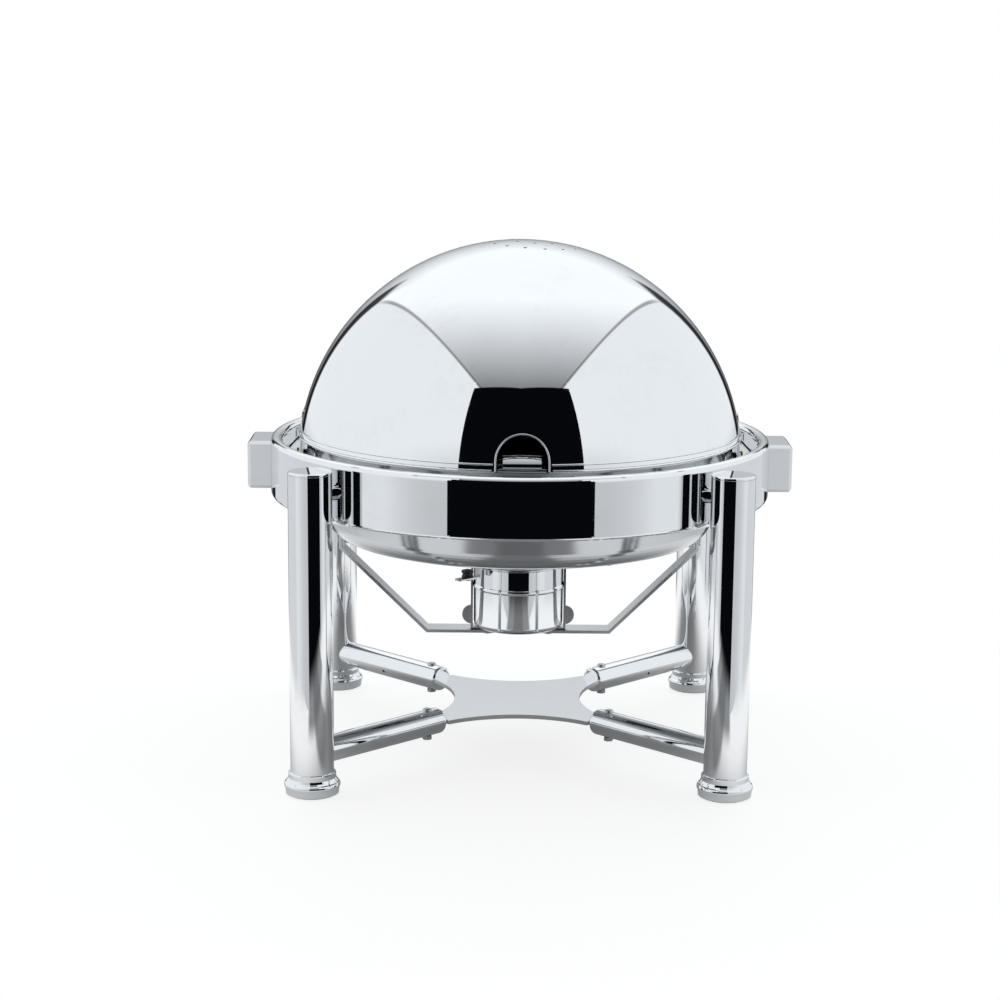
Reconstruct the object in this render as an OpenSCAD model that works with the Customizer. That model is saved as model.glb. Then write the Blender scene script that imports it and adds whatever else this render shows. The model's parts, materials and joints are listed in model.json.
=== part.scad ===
// Round roll top chafer: a mirror finished dome that rolls back under its own
// water pan, on a four legged stand with a spirit burner. Millimetres, +Z up.
// The origin is on the table, under the middle of the ring. The front faces -Y.

/* [Stand] */
// Half the leg spacing, left to right
leg_dx = 190; // [188:1:194]
// Half the leg spacing, front to back
leg_dy = 186; // [184:1:190]
// Outer diameter of a leg tube
leg_d = 40; // [36:1:40]
// Wall of the leg and stretcher tubes
tube_wall = 1.5; // [1.2:0.1:2]
// Outer diameter of a stretcher tube
stretcher_d = 25; // [22:1:26]
// Height of the stretcher axes above the table
stretcher_z = 38; // [36:1:44]
// Widest diameter of a foot
foot_d = 52; // [50:1:54]

/* [Ring] */
// Outer radius of the ring's wall
ring_r = 241; // [240:1:243]
// Thickness of the ring's wall
ring_wall = 2; // [1.5:0.5:2.5]
// Radius of the rolled rim on top of the ring
roll_r = 5.5; // [5:0.5:8.5]

/* [Dome] */
// Height of the roll axis above the table
pivot_z = 278; // [276:1:282]
// Outer radius of the dome
dome_r = 215; // [214:0.5:216]
// Thickness of the dome's sheet
dome_wall = 1.5; // [1.2:0.1:1.5]
// Height of the dome's hem above the roll axis
hem_rise = 28.5; // [28:0.5:32]
// Half the width of the ladle notch in the dome's front
notch_half = 24.8; // [20:0.2:28]
// Height of the ladle notch above the hem
notch_rise = 33.5; // [28:0.5:36]
// Steam vents in the outer circle
vent_count = 14; // [8:1:16]

/* [Pans] */
// Outer radius of the water pan at its rim
pan_r = 204; // [200:1:204]
// Depth of the water pan
pan_depth = 98; // [92:1:100]
// Depth of the food pan
food_depth = 71; // [50:1:72]
// Sheet of both pans
pan_wall = 1.5; // [1:0.1:1.5]

/* [Burner] */
// Outer radius of the fuel cup
cup_r = 44; // [40:0.5:45]
// Height of the fuel cup
cup_h = 63; // [55:1:64]
// Half the length of the strap's level part
strap_half = 90; // [85:1:95]
// Width of the strap
strap_w = 25; // [20:1:30]
// Thickness of the strap
strap_t = 3; // [2:0.5:3]
// How far the damper is swung open, in degrees
damper_open = 0; // [0:5:90]

/* [Hidden] */
$fn = 96;
EPS = 0.01;
SIDES = [-1, 1];
CORNERS = [[-1, -1], [1, -1], [-1, 1], [1, 1]];

// Stand
leg_r = leg_d / 2;
leg_angle = atan2(leg_dy, leg_dx);
leg_reach = norm([leg_dx, leg_dy]);
leg_top = pivot_z + 23;
leg_foot = 3;
cap_t = 3;
cap_plug = 8;
foot_top = 21;
pad_t = 2.5;
pad_r = 23;
str_r = stretcher_d / 2;
str_end = 110;
end_cap_t = 3.5;
plate_t = 4;
plate_waist = 62;
plate_arc_r = 110;
arm_w = 21;
arm_reach = 132;
hub_screw_reach = 122;
hub_screw_r = 2.5;
weep_reach = 182;
weep_r = 1.5;
weep_tilt = 20;

// Ring
ring_in = ring_r - ring_wall;
ring_low = pivot_z - 29.5;
ring_curl = 4;
lip_in = ring_r - 8;
roll_c = ring_r - roll_r;
roll_z = pivot_z + 22.5;
roll_end = 210;
leg_bolt_r = 4;
leg_bolt_z = pivot_z;
bolt_head_r = 7;
bolt_head_t = 4.5;
nut_flats = 13;
nut_t = 6.5;
nut_gap = 1.7;
spacer_r = 7.5;

// Roll hinge
block_out = 262;
block_y = 60;
block_z = 46;
block_edge = 3;
block_screw_y = 20;
block_screw_r = 2.5;
shaft_r = 6;
shaft_in = 201;
shaft_out = 256;
boss_r = 17;
boss_out = 206;
collar_r = 11;
inner_collar_out = 210.4;
ear_t = 2;
ear_r = 20;
ear_rise = 62;
bush_r = 8;
bush_fit = 0.05;
flange_r = 10.5;
flange_t = 1.2;
washer_r = 12;
washer_in = 215;
washer_out = 216.5;
pin_reach = 13.5;
pin_r = 2;
pin_play = 0.3;
rivet_y = 12;
rivet_rise = 47;
rivet_r = 2.5;
rivet_head_r = 4;
rivet_head_t = 1.1;

// Dome
dome_in = dome_r - dome_wall;
hem_z = pivot_z + hem_rise;
hem_r = 1.6;
notch_top = hem_z + notch_rise;
notch_rim = 2.5;
notch_proud = 1.2;
vent_r = 1.6;
vent_x = 12;
vent_circle = 42;
vent_inner_circle = 21;

// Pans
pan_top = pivot_z + 28;
pan_low = pan_top - pan_depth;
pan_corner = 22;
pan_floor_r = pan_r - 38;
pan_rim = 3.5;
pan_bead_r = 1.6;
food_gap = 4.5;
food_r = pan_r - pan_wall - food_gap;
food_top = pan_top + pan_wall;
food_low = food_top - food_depth;
food_floor_r = pan_floor_r - 3;
food_rim = 6;
stud_r = 5;
stud_h = 4;
stud_reach = 150;
stud_half_angle = 38;
stud_turn = -5.5;
tab_w = 35;
tab_t = 1.5;
tab_foot = 4.5;
tab_knee = 4.5;
tab_top = 12;
tab_back = 7;

// Burner
strap_low = 109;
strap_top = strap_low + strap_t;
strap_x = 175.5;
strap_bend_z = 193;
strap_end_z = 207;
bracket_in = 140;
bracket_t = 2.5;
strap_screw_z = 200;
strap_screw_r = 2.5;
cup_low = strap_top + 2;
cup_wall = 1;
cup_corner = 6;
cup_bead_z = cup_low + 43;
cup_bead_h = 8;
cup_bead_out = 1.2;
cradle_t = 2;
cradle_w = 18;
cradle_h = 64;
cradle_r = 2;
ear_disc_r = 8;
ear_disc_z = cup_low + 11;
cradle_screw_x = 30;
lid_z = cup_low + cup_h + 0.4;
lid_t = 1.5;
lid_r = 45.5;
lid_turn = 219;
lid_hub = 40;
flame_r = 22;
lever_w = 9;
lever_drop = 8;
lever_knee = 50;
lever_end = 78;
knob_reach = 64;
knob_r = 6;
knob_h = 8.5;
lid_rivet_r = 2.5;
lid_fit = 0.08;

// Points along an arc, from angle a0 to a1 in n steps
function arc_points(c, r, a0, a1, n = 10) =
  [for (i = [0:n]) c + r * [cos(a0 + (a1 - a0) * i / n), sin(a0 + (a1 - a0) * i / n)]];

// Outline of a pan's outer face, from the middle of its floor to its rim
function pan_line(floor_r, rim_r, low, top, corner, inset = 0) =
  let (lean = atan2(rim_r - floor_r - corner, top - low - corner))
  concat([[0, low + inset]],
         arc_points([floor_r, low + corner], corner - inset, -90, -lean),
         [[rim_r - inset / cos(lean), top]]);

function flip(points) = [for (i = [len(points) - 1:-1:0]) points[i]];

// Puts a child that lies along +X in the leg's direction at one corner
module to_corner(c) {
  mirror([c[0] < 0 ? 1 : 0, 0, 0]) mirror([0, c[1] < 0 ? 1 : 0, 0]) rotate([0, 0, leg_angle]) children();
}

// A child made for the right hand side, on the side s
module on_side(s) { mirror([s < 0 ? 1 : 0, 0, 0]) children(); }

// A cylinder along +X between two distances
module x_rod(x0, x1, r) { translate([x0, 0, 0]) rotate([0, 90, 0]) cylinder(h = x1 - x0, r = r); }

// A tube along +X between two distances
module x_tube(x0, x1, r, bore) {
  difference() {
    x_rod(x0, x1, r);
    x_rod(x0 - 1, x1 + 1, bore);
  }
}

// A box with small flats along every edge
module edged_box(size, edge) {
  module face(a, b, h) {
    linear_extrude(h, center = true)
      polygon([[-a + edge, -b], [a - edge, -b], [a, -b + edge], [a, b - edge],
               [a - edge, b], [-a + edge, b], [-a, b - edge], [-a, -b + edge]]);
  }
  intersection() {
    face(size[0] / 2, size[1] / 2, size[2]);
    rotate([90, 0, 0]) face(size[0] / 2, size[2] / 2, size[1]);
    rotate([90, 0, 90]) face(size[1] / 2, size[2] / 2, size[0]);
  }
}

// A shell between two spheres about the middle of the roll axis
module ball_shell(outer, inner) {
  translate([0, 0, pivot_z]) difference() {
    sphere(r = outer, $fn = 180);
    sphere(r = inner, $fn = 180);
  }
}

// ---- Stand ----

module collar_ring() color("silver") {
  outline = concat(
    [[lip_in, ring_low]],
    arc_points([ring_r - ring_curl, ring_low + ring_curl], ring_curl, -90, 0, 6),
    arc_points([roll_c, roll_z], roll_r, 0, roll_end, 24),
    arc_points([roll_c, roll_z], roll_r - ring_wall, roll_end, 0, 24),
    arc_points([ring_r - ring_curl, ring_low + ring_curl], ring_curl - ring_wall, 0, -90, 6),
    [[lip_in, ring_low + ring_wall]]);
  difference() {
    rotate_extrude($fn = 180) polygon(outline);
    for (s = SIDES) on_side(s) translate([0, 0, pivot_z]) {
      x_rod(ring_in - 3, ring_r + 3, shaft_r);
      for (y = SIDES) translate([0, y * block_screw_y, 0]) x_rod(ring_in - 8, ring_r + 3, block_screw_r);
    }
    for (c = CORNERS) to_corner(c) translate([0, 0, leg_bolt_z]) x_rod(ring_in - 3, ring_r + 3, leg_bolt_r);
  }
}

module leg(c) color("gainsboro") difference() {
  to_corner(c) translate([leg_reach, 0, leg_foot]) cylinder(h = leg_top - cap_t - leg_foot, r = leg_r);
  to_corner(c) translate([leg_reach, 0, 0]) cylinder(h = leg_top, r = leg_r - tube_wall);
  to_corner(c) translate([0, 0, leg_bolt_z]) x_rod(leg_reach - leg_r - 1, leg_reach, leg_bolt_r);
}

module leg_caps() color("silver") for (c = CORNERS) to_corner(c) translate([leg_reach, 0, leg_top - cap_t])
  rotate_extrude() polygon([[0, -cap_plug], [leg_r - tube_wall, -cap_plug], [leg_r - tube_wall, 0],
                            [leg_r, 0], [leg_r, cap_t - 1], [leg_r - 1, cap_t], [0, cap_t]]);

module foot_collars() color("silver") for (c = CORNERS) to_corner(c) translate([leg_reach, 0, 0])
  rotate_extrude() polygon(concat(
    [[0, pad_t], [pad_r, pad_t], [pad_r, 1], [foot_d / 2 - 1.5, 1]],
    arc_points([foot_d / 2 - 4, 9], 4, -40, 60, 6),
    [[leg_r + 3, 14], [leg_r + 2, 16], [leg_r + 2, foot_top - 1], [leg_r + 1, foot_top],
     [leg_r, foot_top], [leg_r, leg_foot], [0, leg_foot]]));

module foot_pads() color("dimgray") for (c = CORNERS) to_corner(c) translate([leg_reach, 0, 0])
  cylinder(h = pad_t, r = pad_r - 0.5);

// Saddles that fill the gap between the round ring and the round leg
module leg_spacers() color("silver") for (c = CORNERS) to_corner(c) difference() {
  translate([0, 0, leg_bolt_z]) x_rod(ring_r - 3, leg_reach - leg_r + 4, spacer_r);
  translate([0, 0, leg_bolt_z]) x_rod(ring_r - 4, leg_reach, leg_bolt_r);
  translate([0, 0, leg_bolt_z - 20]) cylinder(h = 40, r = ring_r, $fn = 180);
  translate([leg_reach, 0, leg_bolt_z - 20]) cylinder(h = 40, r = leg_r);
}

module leg_bolts() color("gray") for (c = CORNERS) to_corner(c) translate([0, 0, leg_bolt_z]) {
  x_rod(ring_in - 1.6, leg_reach - 8, leg_bolt_r);
  difference() {
    x_rod(ring_in - 1.6 - bolt_head_t, ring_in - 0.15, bolt_head_r);
    translate([ring_in - 7, 0, 0]) rotate([0, 90, 0]) cylinder(h = 3.5, r = 2.9, $fn = 6);
  }
}

module leg_nuts() color("gray") for (c = CORNERS) to_corner(c)
  translate([leg_reach - leg_r + tube_wall + nut_gap, 0, leg_bolt_z]) rotate([0, 90, 0]) difference() {
    cylinder(h = nut_t, r = nut_flats / sqrt(3), $fn = 6);
    translate([0, 0, -1]) cylinder(h = nut_t + 2, r = leg_bolt_r);
  }

module hub_screw_holes(c) {
  to_corner(c) translate([hub_screw_reach, 0, stretcher_z - str_r - 2])
    cylinder(h = 2 * str_r + 4, r = hub_screw_r);
}

module stretcher(c) color("gainsboro") difference() {
  to_corner(c) translate([0, 0, stretcher_z]) x_tube(str_end, leg_reach, str_r, str_r - tube_wall);
  to_corner(c) translate([leg_reach, 0, 0]) cylinder(h = 2 * stretcher_z, r = leg_r);
  hub_screw_holes(c);
  to_corner(c) translate([weep_reach, 0, stretcher_z]) rotate([90 + weep_tilt, 0, 0])
    cylinder(h = str_r + 2, r = weep_r);
}

module stretcher_end_caps() color("silver") for (c = CORNERS) to_corner(c) translate([0, 0, stretcher_z])
  difference() {
    translate([str_end, 0, 0]) rotate([0, -90, 0]) rotate_extrude() polygon(concat(
      [[0, -6], [str_r - tube_wall, -6], [str_r - tube_wall, 0]],
      arc_points([str_r - end_cap_t, 0], end_cap_t, 0, 90, 6), [[0, end_cap_t]]));
    cube([3 * str_end, arm_w, plate_t], center = true);
  }

module hub_plate() color("silver") difference() {
  translate([0, 0, stretcher_z - plate_t / 2]) linear_extrude(plate_t) union() {
    difference() {
      intersection() {
        square(2 * (str_end - end_cap_t), center = true);
        rotate([0, 0, 45]) square(2 * (str_end - end_cap_t - 0.5), center = true);
      }
      for (a = [0:90:270]) rotate([0, 0, a]) translate([plate_waist + plate_arc_r, 0])
        circle(r = plate_arc_r, $fn = 180);
    }
    for (a = [-leg_angle, leg_angle]) rotate([0, 0, a]) square([2 * arm_reach, arm_w - 0.4], center = true);
  }
  for (c = CORNERS) hub_screw_holes(c);
}

module hub_screws() color("gray") for (c = CORNERS) to_corner(c) translate([hub_screw_reach, 0, stretcher_z]) {
  translate([0, 0, -str_r - 4]) cylinder(h = 2 * str_r + 4, r = hub_screw_r);
  difference() {
    translate([0, 0, str_r - 1]) rotate_extrude() polygon(concat([[0, 0], [4.5, 0]],
      arc_points([2.5, 1.1], 2, 0, 80, 4), [[0, 3.2]]));
    x_rod(-10, 10, str_r);
  }
}

module hub_nuts() color("gray") for (c = CORNERS) to_corner(c)
  translate([hub_screw_reach, 0, stretcher_z - str_r - 3.6]) difference() {
    cylinder(h = 3.5, r = 8 / sqrt(3), $fn = 6);
    translate([0, 0, -1]) cylinder(h = 6, r = hub_screw_r);
  }

// ---- Roll hinge ----

module hinge_block(s) color("lightgray") on_side(s) difference() {
  translate([(block_out + ring_r - 8) / 2, 0, pivot_z])
    edged_box([block_out - ring_r + 8, block_y, block_z], block_edge);
  translate([0, 0, pivot_z - block_z]) cylinder(h = 2 * block_z, r = ring_r, $fn = 180);
  translate([0, 0, pivot_z]) x_rod(ring_r - 8, shaft_out, shaft_r);
  for (y = SIDES) translate([0, y * block_screw_y, pivot_z]) x_rod(ring_r - 8, ring_r + 12, block_screw_r);
  translate([shaft_out - 5, 0, pivot_z - block_z]) cylinder(h = block_z, r = 2.5);
}

module block_screws() color("gray") for (s = SIDES) on_side(s) for (y = SIDES)
  translate([0, y * block_screw_y, pivot_z]) {
    x_rod(ring_in - 2.2, ring_r + 12, block_screw_r);
    x_rod(ring_in - 4.8, ring_in - 1.4, 4.5);
  }

module grub_screws() color("dimgray") for (s = SIDES) on_side(s)
  translate([shaft_out - 5, 0, pivot_z - block_z / 2 + 1]) difference() {
    cylinder(h = block_z / 2 - 1 - shaft_r, r = 2.5);
    translate([0, 0, -1]) cylinder(h = 4, r = 1.4, $fn = 6);
  }

module trunnion(s) color("darkgray") on_side(s) translate([0, 0, pivot_z]) x_rod(shaft_in, shaft_out, shaft_r);

module spacer_tubes() color("lightgray") for (s = SIDES) on_side(s) translate([0, 0, pivot_z])
  x_tube(washer_out, ring_in - 0.3, collar_r - 1, shaft_r);

module friction_washers() color("darkslategray") for (s = SIDES) on_side(s) translate([0, 0, pivot_z])
  x_tube(washer_in, washer_out, washer_r, shaft_r);

module inner_collars() color("lightgray") for (s = SIDES) on_side(s) translate([0, 0, pivot_z])
  x_tube(boss_out, inner_collar_out, collar_r, shaft_r);

module trunnion_bosses() color("silver") for (s = SIDES) on_side(s) difference() {
  translate([0, 0, pivot_z]) x_rod(pan_r - 14, boss_out, boss_r);
  pan_solid();
  translate([0, 0, pivot_z]) x_rod(shaft_in, boss_out + 1, shaft_r);
  translate([0, -pin_reach, pivot_z]) x_rod(boss_out - 4, boss_out + 1, pin_r);
}

module stop_pins() color("gray") for (s = SIDES) on_side(s)
  translate([0, -pin_reach, pivot_z]) x_rod(boss_out - 4, washer_in - 0.5, pin_r);

// ---- Dome ----

module notch_shape(half, top) {
  translate([0, top - half]) circle(r = half);
  translate([-half, pivot_z]) square([2 * half, top - half - pivot_z]);
}

module notch_prism(half, top) {
  translate([0, -dome_r / 2, 0]) rotate([90, 0, 0]) linear_extrude(dome_r) notch_shape(half, top);
}

module to_rivet(y) {
  rise = asin(rivet_rise / dome_in);
  turn = asin(y / (dome_in * cos(rise)));
  translate([0, 0, pivot_z]) rotate([0, 0, turn]) rotate([0, -rise, 0]) children();
}

module dome() color("whitesmoke") difference() {
  union() {
    difference() {
      ball_shell(dome_r, dome_in);
      translate([0, 0, hem_z - 2 * dome_r]) cube(4 * dome_r, center = true);
      notch_prism(notch_half + notch_rim, notch_top + notch_rim);
    }
    difference() {
      translate([0, 0, hem_z]) rotate_extrude($fn = 180)
        translate([sqrt(dome_r * dome_r - hem_rise * hem_rise) - dome_wall / 2, 0]) circle(r = hem_r, $fn = 24);
      cube([4 * dome_r, 2 * ear_r + 1, 4 * dome_r], center = true);
      notch_prism(notch_half, notch_top);
    }
    intersection() {
      difference() {
        ball_shell(dome_r + notch_proud, dome_in - 0.3);
        notch_prism(notch_half, notch_top);
        translate([0, 0, hem_z - 2 * dome_r]) cube(4 * dome_r, center = true);
      }
      notch_prism(notch_half + notch_rim, notch_top + notch_rim);
    }
  }
  for (s = SIDES) on_side(s) for (y = [-rivet_y, rivet_y]) to_rivet(y) x_rod(dome_in - 6, dome_r + 6, rivet_r);
  for (i = [0:vent_count - 1]) rotate_vent(360 * i / vent_count, vent_circle);
  for (i = [0:vent_count / 2 - 1]) rotate_vent(720 * (i + 0.25) / vent_count, vent_inner_circle);
}

module rotate_vent(a, reach) {
  translate([vent_x + reach * cos(a), reach * sin(a), pivot_z + dome_r / 2])
    cylinder(h = dome_r, r = vent_r, $fn = 24);
}

module dome_ear(s) color("silver") on_side(s) difference() {
  intersection() {
    ball_shell(dome_in, dome_in - ear_t);
    translate([dome_r / 2, 0, pivot_z]) rotate([90, 0, 90]) linear_extrude(dome_r) union() {
      circle(r = ear_r);
      translate([-ear_r, 0]) square([2 * ear_r, ear_rise]);
    }
  }
  translate([0, 0, pivot_z]) {
    x_rod(dome_r / 2, 2 * dome_r, bush_r);
    translate([dome_r / 2, 0, 0]) rotate([90, 0, 90]) rotate([0, 0, 180])
      rotate_extrude(angle = 180) translate([pin_reach - pin_r - pin_play, 0])
        square([2 * (pin_r + pin_play), dome_r]);
    for (y = SIDES) translate([0, y * pin_reach, 0]) x_rod(dome_r / 2, 2 * dome_r, pin_r + pin_play);
  }
  for (y = [-rivet_y, rivet_y]) to_rivet(y) x_rod(dome_in - 6, dome_r + 6, rivet_r);
}

module hinge_bushes() color("goldenrod") for (s = SIDES) on_side(s) translate([0, 0, pivot_z]) {
  x_tube(dome_in - ear_t - 0.2, dome_in + EPS, bush_r, shaft_r + bush_fit);
  x_tube(dome_in, dome_in + flange_t, flange_r, shaft_r + bush_fit);
}

module ear_rivets() color("silver") for (s = SIDES) on_side(s) for (y = [-rivet_y, rivet_y]) to_rivet(y) {
  x_rod(dome_in - ear_t - rivet_head_t, dome_r + rivet_head_t, rivet_r);
  x_tube(dome_r + 0.05, dome_r + rivet_head_t, rivet_head_r, rivet_r);
  x_tube(dome_in - ear_t - rivet_head_t, dome_in - ear_t - 0.05, rivet_head_r, rivet_r);
}

// ---- Pans ----

module pan_shell(floor_r, rim_r, low, top, corner, rim, bead) {
  rotate_extrude($fn = 180) polygon(concat(
    pan_line(floor_r, rim_r, low, top - pan_wall, corner),
    [[rim_r + rim - bead, top - pan_wall]],
    arc_points([rim_r + rim - bead, top - bead], bead, -90, 90, 8),
    flip(pan_line(floor_r, rim_r, low, top, corner, pan_wall))));
}

// Everything inside the water pan's outer face
module pan_solid() {
  rotate_extrude($fn = 180) polygon(concat(
    pan_line(pan_floor_r, pan_r, pan_low, pan_top - pan_wall, pan_corner), [[0, pan_top - pan_wall]]));
}

module water_pan() color("silver")
  pan_shell(pan_floor_r, pan_r, pan_low, pan_top, pan_corner, pan_rim, pan_bead_r);

module pan_studs() color("dimgray") for (a = [-90, 90]) for (s = SIDES)
  rotate([0, 0, a + stud_turn + s * stud_half_angle]) translate([stud_reach, 0, pan_low - stud_h])
    cylinder(h = stud_h, r = stud_r);

module food_pan() color("silver")
  pan_shell(food_floor_r, food_r, food_low, food_top, pan_corner, food_rim, pan_wall / 2);

// Bent up tabs at the front and back of the food pan, to lift it by
module pan_lift_tabs() color("silver") for (s = SIDES) mirror([0, s < 0 ? 1 : 0, 0])
  rotate([90, 0, 90]) linear_extrude(tab_w, center = true) {
    out = food_r + tab_foot;
    polygon([[out, food_top], [out, food_top + tab_knee], [out - tab_back, food_top + tab_top],
             [out - tab_back - tab_t, food_top + tab_top], [out - tab_t, food_top + tab_knee],
             [out - tab_t, food_top]]);
  }

// ---- Burner ----

module strap_side() {
  w = strap_t;
  slope = [strap_x - strap_half, strap_bend_z - strap_low];
  lean = atan2(slope[1], slope[0]);
  knee = w * tan(lean / 2);
  bend = w * tan((90 - lean) / 2);
  polygon([[0, strap_low], [strap_half, strap_low], [strap_x, strap_bend_z], [strap_x, strap_end_z],
           [strap_x - w, strap_end_z], [strap_x - w, strap_bend_z + bend],
           [strap_half - knee, strap_top], [0, strap_top]]);
}

module strap_screw_hole() { translate([0, 0, strap_screw_z]) x_rod(strap_x - 20, strap_x + 5, strap_screw_r); }

module fuel_strap() color("lightgray") difference() {
  for (s = SIDES) on_side(s) rotate([90, 0, 0]) linear_extrude(strap_w, center = true) strap_side();
  for (s = SIDES) on_side(s) {
    strap_screw_hole();
    translate([cradle_screw_x, 0, strap_low - 1]) cylinder(h = strap_t + 2, r = cradle_r);
  }
}

module strap_brackets() color("silver") for (s = SIDES) on_side(s) difference() {
  inner = strap_x - strap_t;
  rotate([90, 0, 0]) linear_extrude(strap_w - 3, center = true)
    polygon([[bracket_in, pan_low - bracket_t], [inner - bracket_t, pan_low - bracket_t],
             [inner - bracket_t, strap_bend_z + 2], [inner, strap_bend_z + 2],
             [inner, pan_low], [bracket_in, pan_low]]);
  strap_screw_hole();
  pan_solid();
}

module strap_screws() color("dimgray") for (s = SIDES) on_side(s) translate([0, 0, strap_screw_z]) {
  x_rod(strap_x - strap_t - bracket_t - 6, strap_x, strap_screw_r);
  x_rod(strap_x, strap_x + 2.6, 4.5);
}

module strap_nuts() color("dimgray") for (s = SIDES) on_side(s)
  translate([strap_x - strap_t - bracket_t - 4.2, 0, strap_screw_z]) rotate([0, 90, 0]) difference() {
    cylinder(h = 4.2, r = 8 / sqrt(3), $fn = 6);
    translate([0, 0, -1]) cylinder(h = 7, r = strap_screw_r);
  }

// A flat base on the strap, two upright arms and two round finger ears
module cup_cradle() color("lightgray") difference() {
  union() {
    translate([0, 0, strap_top + cradle_t / 2])
      cube([2 * (cup_r + 0.6 + cradle_t), cradle_w, cradle_t], center = true);
    for (s = SIDES) on_side(s) {
      translate([cup_r + 0.6, -cradle_w / 2, strap_top]) cube([cradle_t, cradle_w, cradle_h]);
      translate([cup_r + 0.6 + cradle_t / 2, cradle_t / 2, ear_disc_z]) rotate([90, 0, 0])
        cylinder(h = cradle_t, r = ear_disc_r + 1.5);
    }
  }
  translate([0, 0, cup_low]) cylinder(h = 100, r = cup_r + 0.6);
  for (s = SIDES) translate([s * cradle_screw_x, 0, strap_top - 1]) cylinder(h = 10, r = cradle_r);
}

module cradle_screws() color("dimgray") for (s = SIDES) translate([s * cradle_screw_x, 0, 0]) {
  translate([0, 0, strap_low - 1]) cylinder(h = strap_t + cradle_t + 0.8, r = cradle_r);
  translate([0, 0, strap_low - 3]) cylinder(h = 3, r = 4);
}

module fuel_cup() color("silver") difference() {
  union() {
    rotate_extrude() polygon(concat([[0, cup_low]],
      arc_points([cup_r - cup_corner, cup_low + cup_corner], cup_corner, -90, 0, 6),
      [[cup_r, cup_bead_z], [cup_r + cup_bead_out * 0.4, cup_bead_z + 1],
       [cup_r + cup_bead_out * 0.4, cup_bead_z + cup_bead_h - 1], [cup_r, cup_bead_z + cup_bead_h],
       [cup_r, cup_low + cup_h],
       [cup_r - cup_wall, cup_low + cup_h]],
      arc_points([cup_r - cup_corner, cup_low + cup_corner], cup_corner - cup_wall, 0, -90, 6),
      [[0, cup_low + cup_wall]]));
    lid_pivot() translate([0, 0, lid_z - 12]) cylinder(h = 12 - 0.4, r = 5);
  }
  lid_pivot() translate([0, 0, lid_z - 9]) cylinder(h = 20, r = lid_rivet_r);
}

// Puts a child on the damper's rivet, inside the cup's wall
module lid_pivot() {
  translate([lid_hub * cos(lid_turn - 180), lid_hub * sin(lid_turn - 180), 0]) children();
}

// Turns a child with the damper about its rivet
module with_damper() {
  lid_pivot() rotate([0, 0, damper_open + lid_turn]) translate([lid_hub, 0, 0]) children();
}

module damper_rivet() color("gray") lid_pivot() {
  translate([0, 0, lid_z - 8.5]) cylinder(h = 8.5 + lid_t + 0.3, r = lid_rivet_r);
  translate([0, 0, lid_z + lid_t + 0.3]) cylinder(h = 1.5, r = 4.5);
}

// The damper lies along its own +X, away from its rivet
module damper_lid() color("lightgray") with_damper() translate([0, 0, lid_z]) {
  difference() {
    union() {
      cylinder(h = lid_t, r = lid_r);
      translate([0, -lever_w / 2, 0]) cube([lever_knee + lid_t, lever_w, lid_t]);
      translate([lever_knee, -lever_w / 2, -lever_drop]) cube([lid_t, lever_w, lever_drop + lid_t]);
      translate([lever_knee, -lever_w / 2, -lever_drop]) cube([lever_end - lever_w / 2 - lever_knee, lever_w, lid_t]);
      translate([lever_end - lever_w / 2, 0, -lever_drop]) cylinder(h = lid_t, r = lever_w / 2);
    }
    translate([0, 0, -1]) cylinder(h = lid_t + 2, r = flame_r);
    translate([-lid_hub, 0, -1]) cylinder(h = lid_t + 2, r = lid_rivet_r + lid_fit);
    translate([knob_reach, 0, -lever_drop - 1]) cylinder(h = lid_t + 2, r = 1.5);
  }
}

module damper_knob() color("black") with_damper() translate([knob_reach, 0, lid_z - lever_drop]) {
  translate([0, 0, lid_t]) rotate_extrude() polygon(concat([[0, 0], [knob_r - 1.5, 0]],
    arc_points([knob_r - 2, 2], 2, -60, 0, 4), arc_points([knob_r - 2, knob_h - 2], 2, 0, 90, 4), [[0, knob_h]]));
  translate([0, 0, -1.2]) cylinder(h = lid_t + 1.2, r = 1.5);
  translate([0, 0, -1.2]) cylinder(h = 1.2, r = 3);
}

collar_ring();
leg(CORNERS[0]);  // leg_front_left
leg(CORNERS[1]);  // leg_front_right
leg(CORNERS[2]);  // leg_back_left
leg(CORNERS[3]);  // leg_back_right
leg_caps();
foot_collars();
foot_pads();
leg_spacers();
leg_bolts();
leg_nuts();
stretcher(CORNERS[0]);  // stretcher_front_left
stretcher(CORNERS[1]);  // stretcher_front_right
stretcher(CORNERS[2]);  // stretcher_back_left
stretcher(CORNERS[3]);  // stretcher_back_right
stretcher_end_caps();
hub_plate();
hub_screws();
hub_nuts();
hinge_block(-1);  // hinge_block_left
hinge_block(1);  // hinge_block_right
block_screws();
grub_screws();
trunnion(-1);  // trunnion_left
trunnion(1);  // trunnion_right
spacer_tubes();
friction_washers();
inner_collars();
trunnion_bosses();
stop_pins();
dome();
dome_ear(-1);  // dome_ear_left
dome_ear(1);  // dome_ear_right
hinge_bushes();
ear_rivets();
water_pan();
pan_studs();
food_pan();
pan_lift_tabs();
strap_brackets();
strap_screws();
strap_nuts();
fuel_strap();
cup_cradle();
cradle_screws();
fuel_cup();
damper_rivet();
damper_lid();
damper_knob();
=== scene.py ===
"""Looks of a round roll top chafer: mirror steel, satin pans and a spirit burner, in a white studio."""

import json
import logging
import math
from dataclasses import dataclass
from enum import Enum
from typing import Sequence

import bmesh
import bpy
from mathutils import Matrix, Vector


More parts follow.
